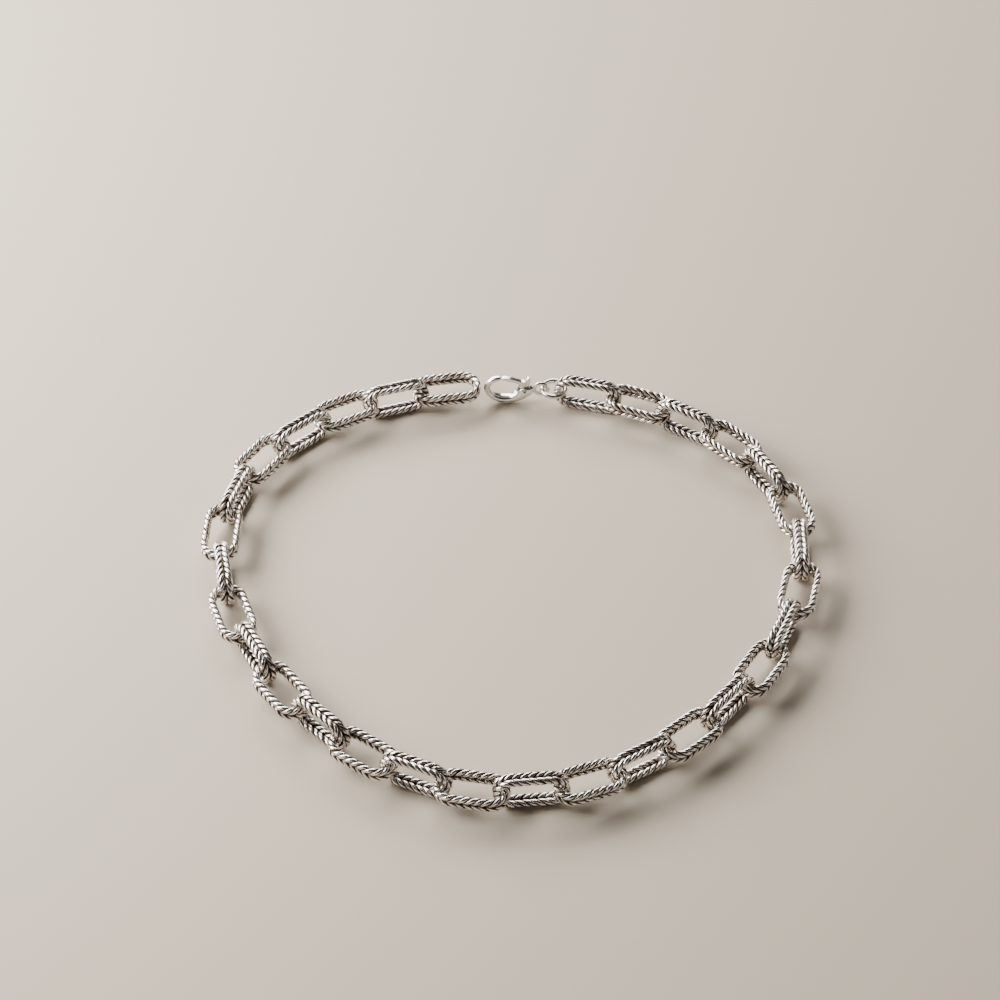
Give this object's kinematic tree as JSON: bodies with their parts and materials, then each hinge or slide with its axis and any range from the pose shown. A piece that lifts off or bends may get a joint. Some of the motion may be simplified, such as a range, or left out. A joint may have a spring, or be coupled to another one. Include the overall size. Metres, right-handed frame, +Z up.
{
  "type": "chain necklace",
  "caption": "Closed loop of elongated oval links, each a pair of twisted silver ropes lying side by side, flat and upright in turn, with a lobster claw clasp.",
  "frame": {"origin": "middle of the loop's bounding box, on the surface that the upright links stand on", "axes": "+Z up out of the surface the loop lies on, +X along the loop's width, -Y towards the front of the neck; the clasp is at +Y"},
  "size_m": [0.1656, 0.1548, 0.0103],
  "materials": {
    "link_silver": "sterling silver, bright on the strand crowns, oxidised dark in the grooves",
    "clasp_silver": "sterling silver, cast and tumbled, lightly oxidised",
    "spring_steel": "drawn stainless steel"
  },
  "bodies": {
    "link_01": {"link_01": "link_silver"},
    "link_02": {"link_02": "link_silver"},
    "link_03": {"link_03": "link_silver"},
    "link_04": {"link_04": "link_silver"},
    "link_05": {"link_05": "link_silver"},
    "link_06": {"link_06": "link_silver"},
    "link_07": {"link_07": "link_silver"},
    "link_08": {"link_08": "link_silver"},
    "link_09": {"link_09": "link_silver"},
    "link_10": {"link_10": "link_silver"},
    "link_11": {"link_11": "link_silver"},
    "link_12": {"link_12": "link_silver"},
    "link_13": {"link_13": "link_silver"},
    "link_14": {"link_14": "link_silver"},
    "link_15": {"link_15": "link_silver"},
    "link_16": {"link_16": "link_silver"},
    "link_17": {"link_17": "link_silver"},
    "link_18": {"link_18": "link_silver"},
    "link_19": {"link_19": "link_silver"},
    "link_20": {"link_20": "link_silver"},
    "link_21": {"link_21": "link_silver"},
    "link_22": {"link_22": "link_silver"},
    "link_23": {"link_23": "link_silver"},
    "link_24": {"link_24": "link_silver"},
    "link_25": {"link_25": "link_silver"},
    "link_26": {"link_26": "link_silver"},
    "link_27": {"link_27": "link_silver"},
    "link_28": {"link_28": "link_silver"},
    "link_29": {"link_29": "link_silver"},
    "link_30": {"link_30": "link_silver"},
    "jump_ring": {"jump_ring": "clasp_silver"},
    "claw": {"claw_body": "clasp_silver", "trigger_pin": "spring_steel", "trigger_spring": "spring_steel"},
    "trigger": {"claw_trigger": "clasp_silver"}
  },
  "joints": [
    {"name": "link_15_swing", "type": "hinge", "parent": "link_16", "child": "link_15", "pos_m": [-0.00257, -0.07225, 0.00515], "axis": [0, 0, 1], "range_deg": [0, 40]},
    {"name": "link_14_swing", "type": "hinge", "parent": "link_15", "child": "link_14", "pos_m": [-0.01166, -0.07104, 0.00515], "axis": [0, 0, -1], "range_deg": [-40, 0]},
    {"name": "link_13_swing", "type": "hinge", "parent": "link_14", "child": "link_13", "pos_m": [-0.03082, -0.06357, 0.00515], "axis": [0, 0, 1], "range_deg": [0, 40]},
    {"name": "link_12_swing", "type": "hinge", "parent": "link_13", "child": "link_12", "pos_m": [-0.03851, -0.05858, 0.00515], "axis": [0, 0, -1], "range_deg": [-40, 0]},
    {"name": "link_11_swing", "type": "hinge", "parent": "link_12", "child": "link_11", "pos_m": [-0.0537, -0.0447, 0.00515], "axis": [0, 0, 1], "range_deg": [0, 40]},
    {"name": "link_10_swing", "type": "hinge", "parent": "link_11", "child": "link_10", "pos_m": [-0.05949, -0.03759, 0.00515], "axis": [0, 0, -1], "range_deg": [-40, 0]},
    {"name": "link_09_swing", "type": "hinge", "parent": "link_10", "child": "link_09", "pos_m": [-0.07006, -0.01994, 0.00515], "axis": [0, 0, 1], "range_deg": [0, 40]},
    {"name": "link_08_swing", "type": "hinge", "parent": "link_09", "child": "link_08", "pos_m": [-0.07351, -0.01145, 0.00515], "axis": [0, 0, -1], "range_deg": [-40, 0]},
    {"name": "link_07_swing", "type": "hinge", "parent": "link_08", "child": "link_07", "pos_m": [-0.07763, 0.00871, 0.00515], "axis": [0, 0, 1], "range_deg": [0, 40]},
    {"name": "link_06_swing", "type": "hinge", "parent": "link_07", "child": "link_06", "pos_m": [-0.07746, 0.01787, 0.00515], "axis": [0, 0, -1], "range_deg": [-40, 0]},
    {"name": "link_05_swing", "type": "hinge", "parent": "link_06", "child": "link_05", "pos_m": [-0.07164, 0.03761, 0.00515], "axis": [0, 0, 1], "range_deg": [0, 40]},
    {"name": "link_04_swing", "type": "hinge", "parent": "link_05", "child": "link_04", "pos_m": [-0.06669, 0.04532, 0.00515], "axis": [0, 0, -1], "range_deg": [-40, 0]},
    {"name": "link_03_swing", "type": "hinge", "parent": "link_04", "child": "link_03", "pos_m": [-0.05151, 0.0592, 0.00515], "axis": [0, 0, 1], "range_deg": [0, 40]},
    {"name": "link_02_swing", "type": "hinge", "parent": "link_03", "child": "link_02", "pos_m": [-0.04354, 0.06374, 0.00515], "axis": [0, 0, -1], "range_deg": [-40, 0]},
    {"name": "link_01_swing", "type": "hinge", "parent": "link_02", "child": "link_01", "pos_m": [-0.02415, 0.0706, 0.00515], "axis": [0, 0, 1], "range_deg": [0, 40]},
    {"name": "link_17_swing", "type": "hinge", "parent": "link_16", "child": "link_17", "pos_m": [0.01783, -0.06959, 0.00515], "axis": [0, 0, -1], "range_deg": [0, 40]},
    {"name": "link_18_swing", "type": "hinge", "parent": "link_17", "child": "link_18", "pos_m": [0.02637, -0.06624, 0.00515], "axis": [0, 0, 1], "range_deg": [-40, 0]},
    {"name": "link_19_swing", "type": "hinge", "parent": "link_18", "child": "link_19", "pos_m": [0.04366, -0.05509, 0.00515], "axis": [0, 0, -1], "range_deg": [0, 40]},
    {"name": "link_20_swing", "type": "hinge", "parent": "link_19", "child": "link_20", "pos_m": [0.05042, -0.0489, 0.00515], "axis": [0, 0, 1], "range_deg": [-40, 0]},
    {"name": "link_21_swing", "type": "hinge", "parent": "link_20", "child": "link_21", "pos_m": [0.06341, -0.03295, 0.00515], "axis": [0, 0, -1], "range_deg": [0, 40]},
    {"name": "link_22_swing", "type": "hinge", "parent": "link_21", "child": "link_22", "pos_m": [0.06814, -0.02509, 0.00515], "axis": [0, 0, 1], "range_deg": [-40, 0]},
    {"name": "link_23_swing", "type": "hinge", "parent": "link_22", "child": "link_23", "pos_m": [0.07586, -0.00602, 0.00515], "axis": [0, 0, -1], "range_deg": [0, 40]},
    {"name": "link_24_swing", "type": "hinge", "parent": "link_23", "child": "link_24", "pos_m": [0.07773, 0.00295, 0.00515], "axis": [0, 0, 1], "range_deg": [-40, 0]},
    {"name": "link_25_swing", "type": "hinge", "parent": "link_24", "child": "link_25", "pos_m": [0.07729, 0.02352, 0.00515], "axis": [0, 0, -1], "range_deg": [0, 40]},
    {"name": "link_26_swing", "type": "hinge", "parent": "link_25", "child": "link_26", "pos_m": [0.07472, 0.03232, 0.00515], "axis": [0, 0, 1], "range_deg": [-40, 0]},
    {"name": "link_27_swing", "type": "hinge", "parent": "link_26", "child": "link_27", "pos_m": [0.06366, 0.04966, 0.00515], "axis": [0, 0, -1], "range_deg": [0, 40]},
    {"name": "link_28_swing", "type": "hinge", "parent": "link_27", "child": "link_28", "pos_m": [0.05688, 0.05584, 0.00515], "axis": [0, 0, 1], "range_deg": [-40, 0]},
    {"name": "link_29_swing", "type": "hinge", "parent": "link_28", "child": "link_29", "pos_m": [0.03904, 0.06608, 0.00515], "axis": [0, 0, -1], "range_deg": [0, 40]},
    {"name": "link_30_swing", "type": "hinge", "parent": "link_29", "child": "link_30", "pos_m": [0.03039, 0.06912, 0.00515], "axis": [0, 0, 1], "range_deg": [-40, 0]},
    {"name": "jump_ring_lift", "type": "hinge", "parent": "link_30", "child": "jump_ring", "pos_m": [0.01578, 0.07188, 0.00515], "axis": [0.1856, 0.9826, 0], "range_deg": [0, 60]},
    {"name": "claw_swing", "type": "hinge", "parent": "jump_ring", "child": "claw", "pos_m": [0.01057, 0.07287, 0.00515], "axis": [0, 0, 1], "range_deg": [-60, 60]},
    {"name": "trigger_press", "type": "hinge", "parent": "claw", "child": "trigger", "pos_m": [0.00242, 0.07268, 0.0053], "axis": [0.0224, -0.9997, 0], "range_deg": [0, 30], "stiffness_Nm_per_rad": 0.012, "springref_deg": -17.19, "deforming": ["trigger_spring"]}
  ]
}
